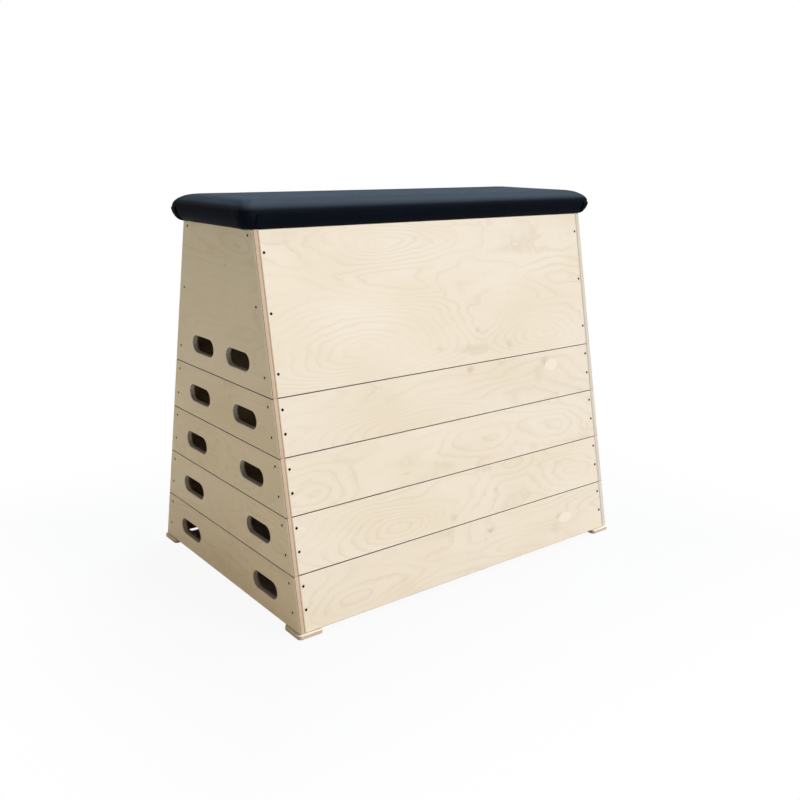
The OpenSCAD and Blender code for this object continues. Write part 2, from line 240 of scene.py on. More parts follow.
# %% [markdown]
# ## Birch veneer
# The faces of birch plywood are peeled from a turning log in one long sheet, so the knife cuts
# each growth ring again and again. The rings show as contour lines, like hills on a map: long
# closed islands, bays and flames, faintly darker than the cream wood. A picture of veneer could
# be laid on every panel, but it would repeat and bring its own light along. So the veneer here
# is a map as well. Stretched noise makes low country, a few named hills make the islands that
# each panel shows, and the fraction of the height draws the contours. Knots are soft brown
# spots, and the pale ovals are the plugs with which a mill mends a hole in the veneer.

# %% Colours of the veneer
CREAM = (0.845, 0.742, 0.605)
WARM_CREAM = (0.800, 0.680, 0.510)
BLUSH_CREAM = (0.850, 0.715, 0.590)
RING = (0.640, 0.500, 0.345)
KNOT = (0.420, 0.270, 0.150)
PLUG = (0.930, 0.805, 0.665)
# Painted shade: this tint darkens the inner faces of the panels, inside the box
INSIDE_SHADE_TINT = (0.62, 0.53, 0.44)
# How dark a growth ring is at each part of the way to the next one
RING_STOPS = [(0.0, 1.0), (1.0, 0.9), (0.12, 0.42), (0.45, 0.0), (0.88, 0.10)]
RING_SHARE, KNOT_SHARE, PLUG_SHARE = 0.40, 0.75, 0.85
HILL_RINGS = 1.35
print("veneer colours:", len([CREAM, WARM_CREAM, BLUSH_CREAM, RING, KNOT, PLUG]))

# %% How deep a point lies in a long panel
SLOPE_FOOT = HALF_W + LEAN * FOOT_T


def slope_gap(y, z):
    """How far a point lies from the outer face of a long panel, measured level."""
    return SLOPE_FOOT - z * LEAN - abs(y)


def slope_depth(y, z):
    """How deep a point lies under the outer face of a long panel, straight into the wood."""
    return slope_gap(y, z) * math.cos(LEAN_ANGLE)


print("a point in the middle of the wood:", round(slope_depth(inner_y(0.5) + PANEL_LEVEL / 2, 0.5), 4))


# %% A veneer's rings, knots and plugs
def spot(web, along, across, middle, size):
    """1 in the middle of an oval and 0 outside it."""
    point = web.vector((along - middle[0]) / size[0], (across - middle[1]) / size[1], 0.0)
    return web.node("ShaderNodeTexGradient", {"gradient_type": "SPHERICAL"}, [point])


def veneer_colour(web, along, across, shift, marks):
    """The veneer's colour and its fibres; marks are its hills, knots and plugs, in metres."""
    hills, knots, plugs = marks
    broad = web.vector(along * 1.7 + shift, across * 7.0 + shift, shift)
    wave = web.noise(web.vector(along * 9.0, across * 46.0, shift), 1.0, 3.0)
    flame = web.noise(web.vector(along * 38.0, across * 12.0, shift + 2.0), 1.0, 2.0)
    height = web.noise(broad, 1.0, 1.5) * 13.0 + wave * 0.75 + flame * 0.5
    for middle, size, rings in hills:
        height = height + spot(web, along, across, middle, size) * (HILL_RINGS * rings)
    stops = [(part, (grey, grey, grey)) for part, grey in RING_STOPS]
    ring = web.node("ShaderNodeValToRGB", {"stops": stops}, [height.fract()])

    fibre = web.noise(web.vector(along * 14.0 + shift, across * 620.0, shift), 1.0, 3.0, 0.6)
    cloud = web.noise(web.vector(along * 2.6, across * 5.0, shift + 4.0), 1.0, 2.0)
    blush = web.noise(web.vector(along * 4.0, across * 4.5, shift + 14.0), 1.0, 2.0)
    faint = web.noise(web.vector(along * 3.0, across * 9.0, shift + 9.0), 1.0, 1.0)
    colour = web.mix(cloud.clip(0.38, 0.70, 0.0, 0.75), CREAM, WARM_CREAM)
    colour = web.mix(blush.clip(0.45, 0.75, 0.0, 0.3), colour, BLUSH_CREAM)
    colour = web.mix(ring * faint.clip(0.35, 0.65, 0.3, 1.0) * RING_SHARE, colour, RING)
    colour = web.mix(fibre.clip(0.50, 0.85, 0.0, 0.18), colour, RING)

    ragged_along = along + wave * 0.016 + flame * 0.014 - 0.015
    ragged_across = across + wave * 0.010 + flame * 0.006 - 0.008
    for middle, size, depth in knots:
        stain = spot(web, ragged_along, ragged_across, middle, size) * (0.55 + fibre * 0.9)
        colour = web.mix(stain.clip(0.0, 1.0) * (KNOT_SHARE * depth), colour, KNOT)
    for middle, size in plugs:
        oval = spot(web, along, across, middle, size)
        cut = abs(oval - 0.02).clip(0.0, 0.03, 0.25, 0.0)
        colour = web.mix(oval.clip(0.0, 0.04) * PLUG_SHARE, colour, web.mix(fibre, PLUG, CREAM))
        colour = web.mix(cut, colour, RING)
    return colour, fibre


def veneer(name, span, shift, marks, tint=(1.0, 1.0, 1.0)):
    """Both faces of one panel; span is the axis that its grain follows, 0 for X and 1 for Y."""
    web = Web(name)
    _, *parts = web.place()
    colour, fibre = veneer_colour(web, parts[span], parts[2], shift, marks)
    depth = slope_depth(*parts[1:]) if span == 0 else END_X - abs(parts[0])
    # Painted shade: the inner face of the panel, inside the box, is darkened.
    tint_and_inside_shade = web.mix(depth.clip(0.008, 0.010), tint, INSIDE_SHADE_TINT)
    sheen = web.noise(web.vector(*[part * 6.0 for part in parts]), 1.0)
    colour = web.mix(1.0, colour, tint_and_inside_shade, "MULTIPLY")
    return web.finish(colour, 0.44 + sheen * 0.16, fibre, 0.0004, 0.35)


# %% [markdown]
# ## The laminated edge
# Sawn and rounded edges show what plywood is made of: thirteen thin plies, laid crosswise in
# turn, so every other one shows its darker end grain, with a hair of glue between them. The edges
# could be unwrapped and given a striped picture. But the stripe that a point belongs to depends
# only on how deep it lies under the panel's outer face, which is a simple sum of its place. So
# no unwrapping is needed, and the stripes also run round the rounded edges and through the
# handholes, as they do on the real box. Where two sections meet, the groove is painted dark, as
# grime from hands and as painted shade in the groove.

# %% Colours of the sawn edge
PLY_DARK = (0.560, 0.390, 0.260)
PLY_LIGHT = (0.780, 0.630, 0.470)
GLUE = (0.26, 0.150, 0.080)
# A paler colour painted on sawn edges, as painted light
PAINTED_LIT_EDGE = (0.74, 0.68, 0.58)
DARK_PLY = (0.170, 0.092, 0.045)
# Dark colour of the joint groove: partly grime, partly painted shade
GROOVE_GRIME_AND_SHADE = (0.034, 0.016, 0.008)
INSIDE_SHADE_CREAM = tuple(a * b for a, b in zip(CREAM, INSIDE_SHADE_TINT))
DARK_PLY_FROM_MIDDLE = 0.0059
print("one ply is", round(PLY_T * 1000, 2), "mm thick")


# %% A laminated edge's material
def laminated(name, leaning, levels, shift, pale=0.0):
    """The sawn edges of a panel between two levels; pale ones have plies of nearly one colour."""
    web = Web(name)
    _, x, y, z = web.place()
    depth = slope_depth(y, z) if leaning else END_X - abs(x)
    run = x if leaning else z + y
    uneven = web.noise(web.vector(run * 30.0, depth * 300.0, shift), 1.0, 2.0)
    streak = web.noise(web.vector(x * 60.0, y * 60.0, z * 60.0), 1.0, 3.0)
    stripe = abs((depth / (2 * PLY_T) + uneven * 0.07).fract() - 0.5)
    end_grain = stripe.clip(0.22, 0.28)
    colour = web.mix(end_grain * (0.45 + streak * 0.5), PLY_DARK, PLY_LIGHT)
    colour = web.mix(abs(stripe - 0.25).clip(0.0, 0.035, 0.55, 0.0), colour, GLUE)
    # Painted light: on the end panels, the sawn edges away from the corners, the handhole walls among them, are
    # painted paler where they catch the light, and pale ones paler still.
    if not leaning:
        painted_lit_edge = slope_gap(y, z).clip(0.012, 0.030, pale, 0.60 + 0.3 * pale)
        colour = web.mix(painted_lit_edge, colour, PAINTED_LIT_EDGE)

    from_middle = abs(depth - PANEL_T / 2)
    dark_ply = abs(from_middle - DARK_PLY_FROM_MIDDLE).clip(0.0006, 0.0012, 0.80, 0.0)
    colour = web.mix(dark_ply * (1.0 - 0.7 * pale), colour, DARK_PLY)
    # Painted shade: the face ply next to the inner face is darkened like the inner face.
    skin = web.mix(depth.clip(0.010, 0.014), CREAM, INSIDE_SHADE_CREAM)
    colour = web.mix(from_middle.clip(PANEL_T * 0.42, PANEL_T * 0.425), colour, skin)

    # Painted shade with grime: the groove along the joint between two sections is painted dark.
    from_level = abs(abs(z - sum(levels) / 2) - (levels[1] - levels[0]) / 2)
    groove_grime_and_shade = from_level.clip(0.0009, 0.0020, 1.0, 0.0)
    groove_grime_and_shade = groove_grime_and_shade * depth.clip(0.0001, 0.0005) * depth.clip(0.0026, 0.0036, 1.0, 0.0)
    colour = web.mix(groove_grime_and_shade * 0.95, colour, GROOVE_GRIME_AND_SHADE)
    return web.finish(colour, 0.55 + streak * 0.15, streak + end_grain * 0.4, 0.0005, 0.5, specular=0.2)


# %% [markdown]
# ## Turning a bmesh into a piece
# A piece could be added with the editor's own commands, but those depend on what is selected.
# Every wooden piece here is a bmesh that is shaped, turned into a mesh with its materials, and
# told which body of the model it rides on and which CAD node it stands for. Large flat faces
# stay flat shaded, so that the triangles in them can't show, and the rounded ones are smooth.

# %% Helpers that finish a piece
SHARP = math.radians(34)
FACES, SAWN = 0, 1


def new_object(name, bm):
    """A new object in the scene with the bmesh as its mesh."""
    mesh = bpy.data.meshes.new(name)
    bm.to_mesh(mesh)
    bm.free()
    made = bpy.data.objects.new(name, mesh)
    bpy.context.scene.collection.objects.link(made)
    return made


def make_piece(name, bm, materials, body, node, smooth=lambda face: True):
    """A finished piece that rides on a body and stands for a CAD node."""
    bmesh.ops.remove_doubles(bm, verts=bm.verts, dist=1e-6)
    bm.normal_update()
    for edge in bm.edges:
        if len(edge.link_faces) == 2 and edge.calc_face_angle(0) > SHARP:
            edge.smooth = False
    for face in bm.faces:
        face.smooth = smooth(face)
    piece = new_object(name, bm)
    for material in materials:
        piece.data.materials.append(material)
    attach(piece, body)
    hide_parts(node)
    return piece


def is_sawn(face):
    return face.material_index == SAWN


# %% Helpers that start and round a piece
def face_out(bm):
    """Turns all faces outwards, also where mirrored corners turned them inside out."""
    bm.normal_update()
    bmesh.ops.recalc_face_normals(bm, faces=bm.faces)


def cube_to(bm, place):
    """A cube whose corners are sent to place(x, y, z), each of the three being -1 or 1."""
    for vert in bmesh.ops.create_cube(bm, size=2.0)["verts"]:
        vert.co = place(*(round(c) for c in vert.co))
    face_out(bm)


def soften(bm, edges, radius, segments):
    """Rounds the given edges."""
    bmesh.ops.bevel(
        bm, geom=edges, offset=radius, offset_type="OFFSET", segments=segments, profile=0.5,
        affect="EDGES", material=-1, clamp_overlap=True,
    )


# %% [markdown]
# ## Openings in a panel
# Boolean modifiers could cut the holes, but they leave slivers that spoil a rounded rim. So a
# panel's big faces are cut away and filled again round its openings. A handhole is two half
# circles pulled apart, repeated at several depths, with wider rings at both faces for the
# rounded rims. A screw seat is a shallow round well. bridge_loops joins each pair of rings, and
# triangle_fill closes the flat wood between the panel's outline and the rings.

# %% Rings and walls
HOLE_W, HOLE_H, HOLE_ROUND = 0.124, 0.048, 0.004
HEAD_R = 0.00375
# Radius and depth of each ring of a screw's seat
PANEL_WELL = [(HEAD_R + 0.0005, 0.0), (HEAD_R + 0.0001, 0.0005), (HEAD_R - 0.0012, 0.0019)]


def ring_of(bm, at, radius, segments, pull=0.0):
    """A ring in the plane of at, whose halves are pulled apart along its X axis."""
    spin = Matrix.Rotation(math.pi / segments, 4, "Z")
    made = bmesh.ops.create_circle(bm, segments=segments, radius=radius, matrix=spin)["verts"]
    edges = list({edge for vert in made for edge in vert.link_edges})
    for vert in made:
        vert.co.x += pull if vert.co.x > 0 else -pull
        vert.co = at @ vert.co
    return edges


def bridge(bm, rings):
    """Joins each ring to the next with faces."""
    for first, second in zip(rings, rings[1:]):
        bmesh.ops.bridge_loops(bm, edges=first + second)


def ring_wall(bm, at, sizes, segments, pull=0.0):
    """A wall through rings of the given radii and depths; at's Z axis points inwards."""
    rings = [
        ring_of(bm, at @ Matrix.Translation((0, 0, deep)), radius, segments, pull)
        for radius, deep in sizes
    ]
    bridge(bm, rings)
    return rings


print("a handhole is", HOLE_W * 1000, "by", HOLE_H * 1000, "mm")


# %% Handholes and screw seats
def handhole(bm, at):
    """The wall of a handhole, with its rings at the outer and at the inner face."""
    turns = [i / 6 * math.pi / 2 for i in range(7)]
    rim = [(HOLE_ROUND * (1 - math.sin(a)), HOLE_ROUND * (1 - math.cos(a))) for a in turns]
    rim += [(wide, PANEL_T - deep) for wide, deep in reversed(rim)]
    sizes = [(HOLE_H / 2 + wide, deep) for wide, deep in rim]
    rings = ring_wall(bm, at, sizes, 40, (HOLE_W - HOLE_H) / 2)
    return rings[0], rings[-1]


def screw_well(bm, at, sizes):
    """A countersunk seat, closed at its bottom, where a screw's head sits."""
    rings = ring_wall(bm, at, sizes, 20)
    bmesh.ops.contextual_create(bm, geom=rings[-1])
    return rings[0]


def refill(bm, outward, rings):
    """Cuts away the biggest face that looks outward and fills the wood between it and the rings."""
    bm.normal_update()
    looking = (f for f in bm.faces if f.normal.dot(outward) > 0.99)
    big = max(looking, key=lambda f: f.calc_area())
    edges = list(big.edges) + [edge for ring in rings for edge in ring]
    bmesh.ops.delete(bm, geom=[big], context="FACES_ONLY")
    bmesh.ops.triangle_fill(bm, use_beauty=True, edges=edges, normal=outward)


def facing(origin, along, inward):
    """A frame whose X axis runs along the panel and whose Z axis points into the wood."""
    rows = Matrix((along, inward.cross(along), inward)).transposed().to_4x4()
    return Matrix.Translation(origin) @ rows


# %% [markdown]
# ## Screws
# The panels are held with black countersunk screws, whose heads sit flush in the wood. A screw
# could be made once and copied as an object, but then each section would carry a dozen loose
# pieces. Here all screws of a section are one mesh. Each is a wall through five rings, closed at
# both ends, with a cross pushed into its head and a little turn of its own as a real screw has.

# %% Where the screws are
END_ROWS = {name: (0.048, 0.125) for name in SECTIONS[:4]} | {"top": (0.048, 0.2235, 0.399)}
LONG_ROWS = {name: (0.059, 0.120) for name in SECTIONS[:4]} | {"top": (0.059, 0.2085, 0.358)}
INTO_POST = 0.0085


def end_seats(name, side):
    """Seats of the screws in one end panel."""
    for row in END_ROWS[name]:
        for long_side in (-1, 1):
            z = LOW[name] + row
            place = Vector((side * END_X, long_side * (inner_y(z) - INTO_POST), z))
            yield facing(place, ACROSS, Vector((-side, 0, 0)))


def long_seats(name, side):
    """Seats of the screws in one long panel."""
    for row in LONG_ROWS[name]:
        for end in (-1, 1):
            z = LOW[name] + row
            place = Vector((end * (INNER_X - INTO_POST), side * half_width(z), z))
            yield facing(place, ALONG, into_long(side))


print("screws in one end of the top section:", len(list(end_seats("top", 1))))

# %% Black metal, worn to grey in places
web = Web("black_screw")
point, *_ = web.place()
worn = web.noise(point, 900.0, 3.0).clip(0.5, 0.75)
metal = web.mix(worn * 0.5, (0.005, 0.004, 0.0035), (0.040, 0.034, 0.028))
SCREW_BLACK = web.finish(metal, 0.40 + worn * 0.2, specular=0.12, Metallic=0.3)
print("screws are finished in", SCREW_BLACK.name)

# %% Make a screw and set it out
SHANK_R = 0.002
CROSS_DEEP, CROSS_ARM, CROSS_CORNER = 0.0013, 0.0018, 0.00075
dice = random.Random(4)


def screw_shape(bm, at, length):
    """A countersunk screw with a cross recess, its head's flat top at the origin of at."""
    head = [(HEAD_R - 0.00015, -0.00012), (HEAD_R, 0.0), (SHANK_R, 0.00175)]
    rings = ring_wall(bm, at, head + [(SHANK_R, length - 0.005), (0.0003, length)], 16)
    bmesh.ops.contextual_create(bm, geom=rings[-1])
    crown = bmesh.ops.contextual_create(bm, geom=rings[0])["faces"]
    bmesh.ops.inset_individual(bm, faces=crown, thickness=0.0011)
    well = bmesh.ops.extrude_discrete_faces(bm, faces=crown)["faces"][0]
    for vert in well.verts:
        out = at.inverted() @ vert.co
        angle = math.atan2(out.y, out.x)
        reach = CROSS_ARM if abs(math.sin(2 * angle)) < 0.5 else CROSS_CORNER
        vert.co = at @ Vector((reach * math.cos(angle), reach * math.sin(angle), CROSS_DEEP))


def set_screws(name, seats, body, length):
    """All screws of one CAD node, sunk a little into their seats."""
    bm = bmesh.new()
    for at in seats:
        spin = Matrix.Rotation(dice.uniform(0, math.pi / 2), 4, "Z")
        screw_shape(bm, at @ spin @ Matrix.Translation((0, 0, 0.0003)), length)
    made = make_piece(name + "_set", bm, [SCREW_BLACK], body, name)
    print(name, "has", len(made.data.polygons), "faces")


for name in SECTIONS:
    seats = [seat for side in (-1, 1) for make in (end_seats, long_seats) for seat in make(name, side)]
    set_screws(name + "_screws", seats, BODY[name], 0.040)

# %% [markdown]
# ## The end panels
# An end panel is a trapezoid with two handholes. A flat outline could be drawn and given a
# thickness, but a cube whose corners go to the trapezoid's is shorter to write. The edges of its
# outer face and of its thickness are rounded by 2.5 mm, because that is where hands and shins
# meet it, and the inner ones only eased. Each panel is cut from another part of the sheet, so
# each has a veneer of its own.

# %% Marks for the panels that the photograph doesn't show
KNOT_SIZE = (0.016, 0.008)


def panel_marks(seed, low, high, reach):
    """Three hills and a knot, dealt over a panel; no plugs."""
    deal = random.Random(seed)

    def middle():
        return deal.uniform(-reach, reach), deal.uniform(low, high)

    hills = [
        (middle(), (deal.uniform(0.12, 0.4), deal.uniform(0.04, 0.14)), deal.uniform(1, 2.5))
        for _ in range(3)
    ]
    return hills, [(middle(), KNOT_SIZE, deal.uniform(0.15, 0.4))], []


# %% Make the end panels
EDGE_ROUND, EDGE_EASED = 0.0025, 0.0006
HOLE_RISE, HOLE_IN = 0.070, 0.161
# Painted shade: the end panels' veneer is tinted warmer and darker, as an end in shade looks.
END_SHADE_TINT = (1.0, 0.93, 0.77)


def end_panel(name, side):
    """The shape of one end panel, with its veneered faces and sawn edges told apart."""
    low, high = LOW[name], HIGH[name]
    outer, inner = side * END_X, side * INNER_X
    inward = Vector((-side, 0, 0))
    bm = bmesh.new()

    def corner(x, y, z):
        level = high if z > 0 else low
        return Vector((outer if x > 0 else inner, y * half_width(level), level))

    def on(x, part):
        return [abs(v.co.x - x) < 1e-6 for v in part.verts]

    cube_to(bm, corner)
    soften(bm, [e for e in bm.edges if any(on(outer, e))], EDGE_ROUND, 4)
    soften(bm, [e for e in bm.edges if all(on(inner, e))], EDGE_EASED, 2)
    z = low + HOLE_RISE
    holes = [
        handhole(bm, facing(Vector((outer, long_side * (half_width(z) - HOLE_IN), z)), ACROSS, inward))
        for long_side in (-1, 1)
    ]
    wells = [screw_well(bm, at, PANEL_WELL) for at in end_seats(name, side)]
    refill(bm, -inward, [first for first, _ in holes] + wells)
    refill(bm, inward, [last for _, last in holes])
    face_out(bm)
    for face in bm.faces:
        face.material_index = FACES if all(on(outer, face)) or all(on(inner, face)) else SAWN
    return bm


for i, name in enumerate(SECTIONS):
    levels = LOW[name], HIGH[name]
    for side, word, pale in ((-1, "left", 0.0), (1, "right", 0.9)):
        marks = panel_marks(10 * i + side, *levels, 0.3)
        finishes = [
            veneer(f"{name}_{word}_veneer", 1, 3.1 * i + side, marks, END_SHADE_TINT),
            laminated(f"{name}_{word}_edge", False, levels, i, pale),
        ]
        node = f"{name}_end_{word}"
        bm = end_panel(name, side)
        piece = make_piece(node + "_panel", bm, finishes, BODY[name], node, is_sawn)
    print(name, "end panels have", len(piece.data.polygons), "faces each")

# %% [markdown]
# ## The long panels
# A long panel stands between the end panels and leans with the taper, while its upper and lower
# edges stay level, so its section is a parallelogram. Turning a straight board would tilt those
# edges too, so this is again a cube whose corners are sent where they belong. The five panels at
# the front are the ones that the photograph shows best, so their hills, knots and plugs are
# placed one by one from it. A hill is a middle, a size and how high it is, and a knot how dark.

# %% What the veneer shows at the front
FRONT_MARKS = {
    "top": (
        [((-0.23, 0.965), (0.30, 0.075), 4.0), ((0.10, 0.905), (0.22, 0.11), 2.2),
         ((-0.30, 0.715), (0.42, 0.16), 7.5), ((0.40, 0.676), (0.26, 0.10), 4.5)],
        [((0.116, 0.709), (0.016, 0.012), 0.30), ((0.0, 0.818), (0.010, 0.018), 0.16),
         ((0.09, 0.655), (0.10, 0.020), 0.30), ((-0.04, 0.668), (0.020, 0.014), 0.26),
         ((0.24, 0.652), (0.022, 0.020), 0.28), ((0.545, 0.832), (0.008, 0.006), 0.4)],
        [],
    ),
    "section_4": (
        [((-0.21, 0.476), (0.34, 0.075), 4.5), ((-0.03, 0.470), (0.14, 0.030), 2.0)],
        [((0.070, 0.598), (0.024, 0.014), 0.55), ((0.385, 0.580), (0.030, 0.022), 0.55),
         ((0.352, 0.548), (0.030, 0.045), 0.20)],
        [((0.413, 0.567), (0.030, 0.0175))],
    ),
    "section_3": (
        [((0.15, 0.388), (0.26, 0.09), 2.4), ((0.42, 0.38), (0.20, 0.10), 2.6),
         ((-0.50, 0.36), (0.16, 0.07), 2.5)],
        [((-0.204, 0.348), (0.020, 0.006), 0.25), ((0.555, 0.354), (0.009, 0.007), 0.35),
         ((0.30, 0.330), (0.030, 0.022), 0.16)],
        [],
    ),
    "section_2": (
        [((-0.25, 0.214), (0.42, 0.12), 7.0), ((0.46, 0.228), (0.22, 0.07), 3.0)],
        [((-0.052, 0.188), (0.024, 0.020), 0.34), ((0.124, 0.232), (0.014, 0.014), 0.24)],
        [],
    ),
    "section_1": (
        [((-0.42, 0.060), (0.30, 0.07), 3.0)],
        [((0.086, 0.118), (0.022, 0.012), 0.60), ((0.064, 0.095), (0.008, 0.030), 0.15),
         ((0.388, 0.094), (0.022, 0.014), 0.40), ((0.365, 0.062), (0.035, 0.035), 0.20)],
        [((0.4135, 0.084), (0.030, 0.0165))],
    ),
}
print("knots at the front:", sum(len(knots) for _, knots, _ in FRONT_MARKS.values()))


# %% Make the long panels
def long_panel(name, side):
    """The shape of one long panel, with its veneered faces and sawn edges told apart."""
    low, high = LOW[name], HIGH[name]
    outer = Vector((0, side * half_width(low), low))
    inward = into_long(side)
    bm = bmesh.new()

    def corner(x, y, z):
        level = high if z > 0 else low
        return Vector((x * INNER_X, side * (half_width(level) if y > 0 else inner_y(level)), level))

    def depths(part):
        return [(v.co - outer).dot(inward) for v in part.verts]

    def runs_along(edge):
        return abs(edge.verts[0].co.x - edge.verts[1].co.x) > 0.1

    cube_to(bm, corner)
    soften(bm, [e for e in bm.edges if max(depths(e)) < 1e-6 and runs_along(e)], EDGE_ROUND, 4)
    soften(bm, [e for e in bm.edges if e.calc_face_angle(0) > math.radians(40)], EDGE_EASED, 2)
    wells = [screw_well(bm, at, PANEL_WELL) for at in long_seats(name, side)]
    refill(bm, -inward, wells)
    face_out(bm)
    for face in bm.faces:
        at_face = max(depths(face)) < 1e-5 or min(depths(face)) > PANEL_T - 1e-5
        face.material_index = FACES if at_face else SAWN
    return bm


for i, name in enumerate(SECTIONS):
    levels = LOW[name], HIGH[name]
    for side, word in ((-1, "front"), (1, "back")):
        marks = FRONT_MARKS[name] if side < 0 else panel_marks(50 + i, *levels, 0.5)
        finishes = [
            veneer(f"{name}_{word}_veneer", 0, 1.7 * i + side * 2.0, marks),
            laminated(f"{name}_{word}_edge", True, levels, i),
        ]
        node = f"{name}_long_{word}"
        bm = long_panel(name, side)
        piece = make_piece(node + "_panel", bm, finishes, BODY[name], node, is_sawn)
    print(name, "long panels have", len(piece.data.polygons), "faces each")

# %% [markdown]
# ## The corner posts
# Inside each corner stands a square post of plain softwood. The panels are screwed to it, and on
# the four lower sections its end stands above the wood as a tapered tenon that finds its way
# into the section above. A separate tenon would leave a seam, so the post is one cube whose top
# is extruded in three steps. Its grain is noise that is stretched along the post.


# %% Solid wood
def plain_wood(name, axis, colour, dark, rim=None):
    """Wood with its grain along one axis; rim is a paler colour painted on the upper rim of a foot, a painted
    highlight.
    """
    web = Web(name)
    _, *parts = web.place()

    def stretched(slow, fast):
        return web.vector(*[part * (slow if i == axis else fast) for i, part in enumerate(parts)])

    grain = web.noise(stretched(3.0, 90.0), 1.0, 4.0, 0.6)
    broad = web.noise(stretched(1.0, 22.0), 1.0, 2.0)
    share = grain.clip(0.35, 0.75, 0.0, 0.7) * 0.6 + broad.clip(0.4, 0.65, 0.0, 0.4)
    mixed = web.mix(share, colour, dark)
    # Painted highlight: the upper rim is painted paler, where a foot's ledge catches the light.
    if rim:
        mixed = web.mix(parts[2].clip(0.0100, 0.0112), mixed, rim)
    return web.finish(mixed, 0.52 + grain * 0.2, grain, 0.0006, 0.5)


# %% Make the corner posts
POST_START = 0.038
# Each step of a tenon: how far it is above the section, and how far it is drawn in
TENON = [(0.0, 0.0015), (0.020, 0.0015), (0.028, 0.0055)]


def post(name, end, side):
    """The shape of one post, with its tenon."""
    low, high = LOW[name] + (0.0 if name == "section_1" else POST_START), HIGH[name]
    bm = bmesh.new()

    def at(x, y, z, inset=0.0):
        along = INNER_X - (inset if x > 0 else POST_W)
        across = inner_y(z) - (inset if y > 0 else POST_W)
        return Vector((end * along, side * across, z))

    cube_to(bm, lambda x, y, z: at(x, y, high if z > 0 else low))
    for above, inset in TENON if name != "top" else []:
        top = max(bm.faces, key=lambda f: f.calc_center_median().z)
        made = bmesh.ops.extrude_face_region(bm, geom=[top])["geom"]
        bmesh.ops.delete(bm, geom=[top], context="FACES_ONLY")
        for vert in (v for v in made if isinstance(v, bmesh.types.BMVert)):
            x = 1 if abs(vert.co.x) > INNER_X - POST_W / 2 else -1
            y = 1 if abs(vert.co.y) > inner_y(vert.co.z) - POST_W / 2 else -1
            vert.co = at(x, y, high + above, inset)
    face_out(bm)
    corners = [e for e in bm.edges if len(e.link_faces) == 2 and e.is_convex]
    soften(bm, [e for e in corners if e.calc_face_angle(0) > math.radians(20)], 0.0011, 2)
    return bm


POST_WOOD = plain_wood("post_softwood", 2, (0.700, 0.520, 0.330), (0.480, 0.300, 0.160))
CORNERS = [(end, side, f"{word}_{end_word}") for end, end_word in ((-1, "left"), (1, "right"))
           for side, word in ((-1, "front"), (1, "back"))]
for name in SECTIONS:
    for end, side, words in CORNERS:
        node = f"{name}_post_{words}"
        piece = make_piece(node + "_wood", post(name, end, side), [POST_WOOD], BODY[name], node)
    print(name, "posts have", len(piece.data.polygons), "faces each")

# %% [markdown]
# ## The feet
# A square foot under each corner keeps the bottom section off the floor. It stands out a little
# beyond the panels, so a thin ledge catches the light all round. A Bevel modifier could round all
# its edges alike, but the real one has wide round corners and fine rims. So it is a cube that is
# softened twice, and it is screwed up into the post from below, through two seats.

# %% Make the feet
FOOT_HALF, LEDGE = 0.038, 0.006
FOOT_WELL = [(0.0041, 0.0), (0.0038, 0.002), (0.0024, 0.0036)]
FOOT_HEAD_DEEP = 0.002
# How far a foot's two screws are from the outer faces, along the box and across it
FOOT_SCREWS = [(PANEL_T + POST_W * 0.25, PANEL_LEVEL + POST_W * 0.75),
               (PANEL_T + POST_W * 0.75, PANEL_LEVEL + POST_W * 0.4)]
# The paler colour last is a painted highlight along the upper rim of each foot.
FOOT_WOOD = plain_wood("foot_hardwood", 0, (0.690, 0.540, 0.395), (0.500, 0.360, 0.245), (0.95, 0.86, 0.74))


def foot(end, side, seats):
    """The shape of one foot, with the seats of its screws in its underside."""
    inset = FOOT_HALF - LEDGE
    centre = Vector((end * (END_X - inset), side * (HALF_W - inset), 0))
    bm = bmesh.new()
    cube_to(bm, lambda x, y, z: centre + Vector((FOOT_HALF * x, FOOT_HALF * y, FOOT_T if z > 0 else 0.0)))
    soften(bm, [e for e in bm.edges if abs(e.verts[0].co.z - e.verts[1].co.z) > 0.01], 0.010, 8)
    soften(bm, [e for e in bm.edges if abs(e.verts[0].co.z - e.verts[1].co.z) < 1e-6], 0.0014, 3)
    refill(bm, -UP, [screw_well(bm, at, FOOT_WELL) for at in seats])
    face_out(bm)
    return bm


foot_seats = []
for end, side, words in CORNERS:
    seats = [
        facing(Vector((end * (END_X - along), side * (HALF_W - across), 0.0)), ALONG, UP)
        for along, across in FOOT_SCREWS
    ]
    bm = foot(end, side, seats)
    make_piece(f"foot_{words}_block", bm, [FOOT_WOOD], "section_1", f"foot_{words}",
               lambda face: face.calc_area() < 0.0001)
    foot_seats += [at @ Matrix.Translation((0, 0, FOOT_HEAD_DEEP)) for at in seats]
set_screws("foot_screws", foot_seats, "section_1", 0.032)

# %% [markdown]
# ## Under the pad
# The pad is built on a plywood board, which two cleats hold to the long panels. This shows only
# from below, when the top section is lifted off, and its shapes are plain. So they aren't made
# again: the CAD pieces keep their shape here and get the finish of the real ones.


# %% Finish the board, the cleats and the staples
def refinish(node, material):
    """Gives a CAD node another material."""
    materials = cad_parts[node].data.materials
    materials.clear()
    materials.append(material)


BOARD_Z = 1.0282
web = Web("pad_board_ply")
_, x, y, z = web.place()
colour, fibre = veneer_colour(web, x, y, 21.0, ([((0.1, 0.0), (0.5, 0.12), 5.0)], [], []))
ply = (((z - BOARD_Z) / (2 * PLY_T)).fract() - 0.5).math("GREATER_THAN", 0.0)
normal = web.node("ShaderNodeNewGeometry", output="Normal")
level = abs(web.node("ShaderNodeSeparateXYZ", inputs=[normal], output=2))
colour = web.mix(level.clip(0.4, 0.6, 1.0, 0.0), colour, web.mix(ply, PLY_DARK, PLY_LIGHT))
refinish("pad_board", web.finish(colour, 0.55, fibre, 0.0004, 0.3))

